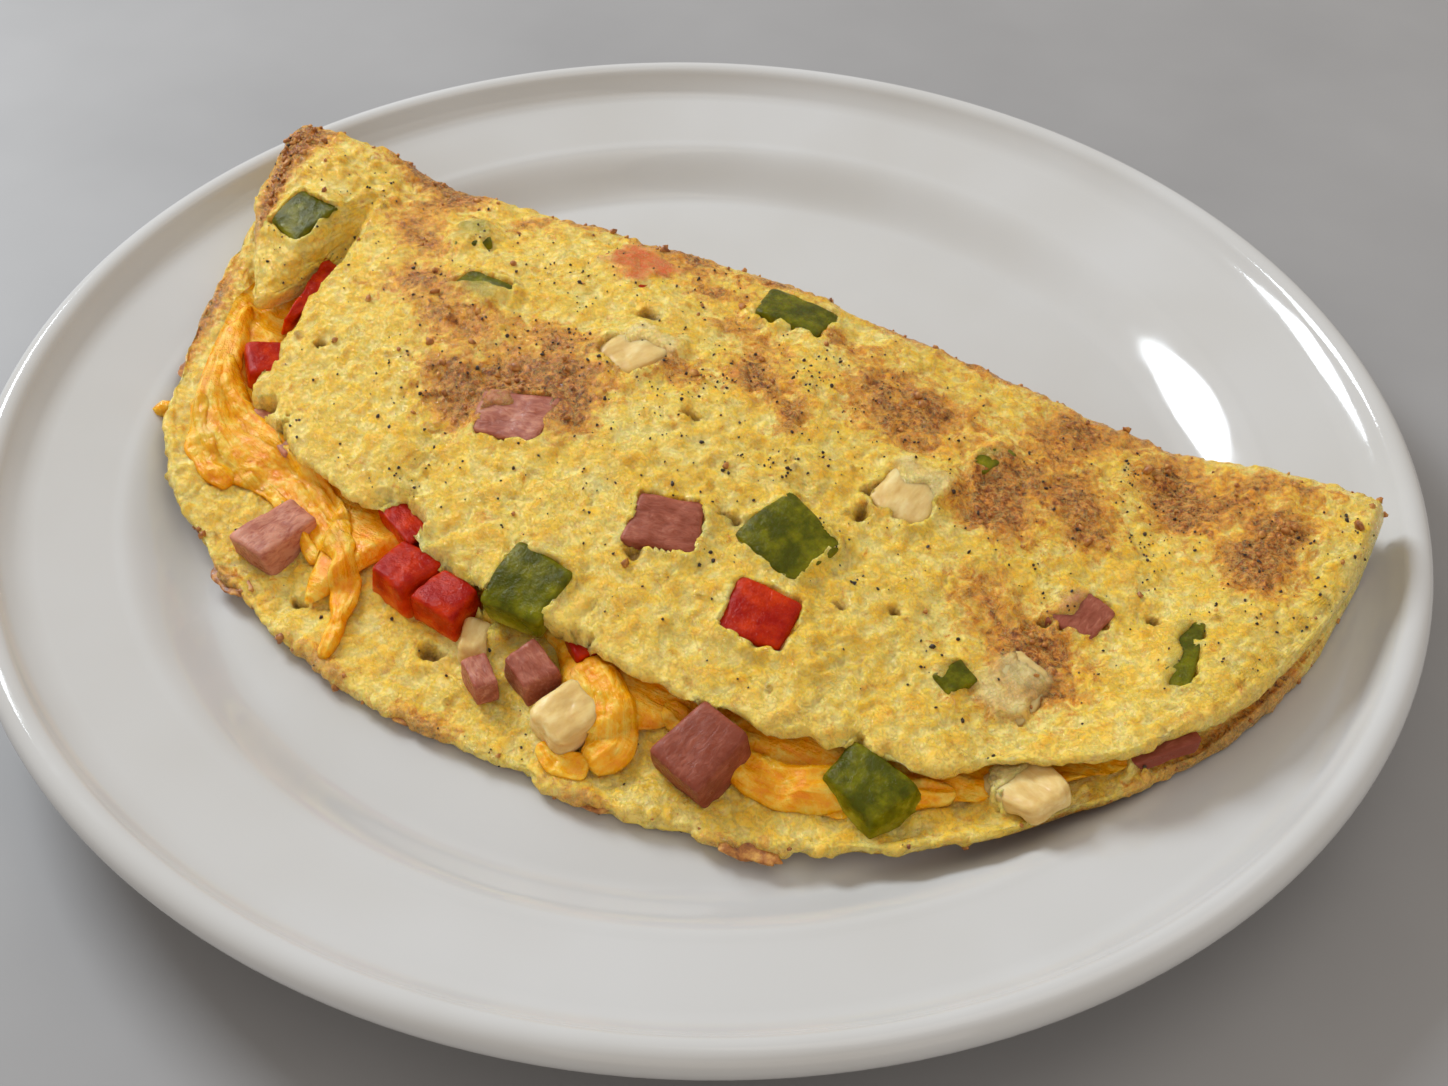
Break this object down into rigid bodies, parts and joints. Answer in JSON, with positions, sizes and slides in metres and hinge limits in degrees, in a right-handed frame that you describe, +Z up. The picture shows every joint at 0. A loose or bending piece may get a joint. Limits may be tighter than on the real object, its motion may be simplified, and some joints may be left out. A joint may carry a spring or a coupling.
{
  "type": "folded omelette on a plate",
  "caption": "Half-moon folded omelette with melted cheese and diced ham, peppers and onion, lying across a round rimmed plate.",
  "frame": {"origin": "centre of the plate's foot, on the plane it stands on", "axes": "+Z up, +X along the omelette's fold towards its open tip, +Y towards the folded side, -Y towards the open side"},
  "size_m": [0.242, 0.242, 0.0315],
  "materials": {
    "plate": "white gloss glaze",
    "egg": "set egg, pale yellow with golden brown patches, slightly oily",
    "cheese": "melted orange cheese, glossy",
    "ham": "diced cooked ham, muted pink with paler fibres",
    "green_pepper": "diced cooked green pepper, waxy skin",
    "red_pepper": "diced cooked red pepper, waxy skin",
    "onion": "diced soft onion, translucent"
  },
  "bodies": {
    "root": {"plate": "plate", "egg_sheet": "egg", "cheese_filling": "cheese", "ham_1": "ham", "ham_2": "ham", "ham_3": "ham", "ham_4": "ham", "ham_5": "ham", "ham_6": "ham", "ham_7": "ham", "ham_8": "ham", "ham_9": "ham", "ham_10": "ham", "green_pepper_1": "green_pepper", "green_pepper_2": "green_pepper", "green_pepper_3": "green_pepper", "green_pepper_4": "green_pepper", "green_pepper_5": "green_pepper", "green_pepper_6": "green_pepper", "green_pepper_7": "green_pepper", "green_pepper_8": "green_pepper", "green_pepper_9": "green_pepper", "green_pepper_10": "green_pepper", "red_pepper_1": "red_pepper", "red_pepper_2": "red_pepper", "red_pepper_3": "red_pepper", "red_pepper_4": "red_pepper", "red_pepper_5": "red_pepper", "red_pepper_6": "red_pepper", "red_pepper_7": "red_pepper", "red_pepper_8": "red_pepper", "onion_1": "onion", "onion_2": "onion", "onion_3": "onion", "onion_4": "onion", "onion_5": "onion", "onion_6": "onion"}
  },
  "joints": []
}
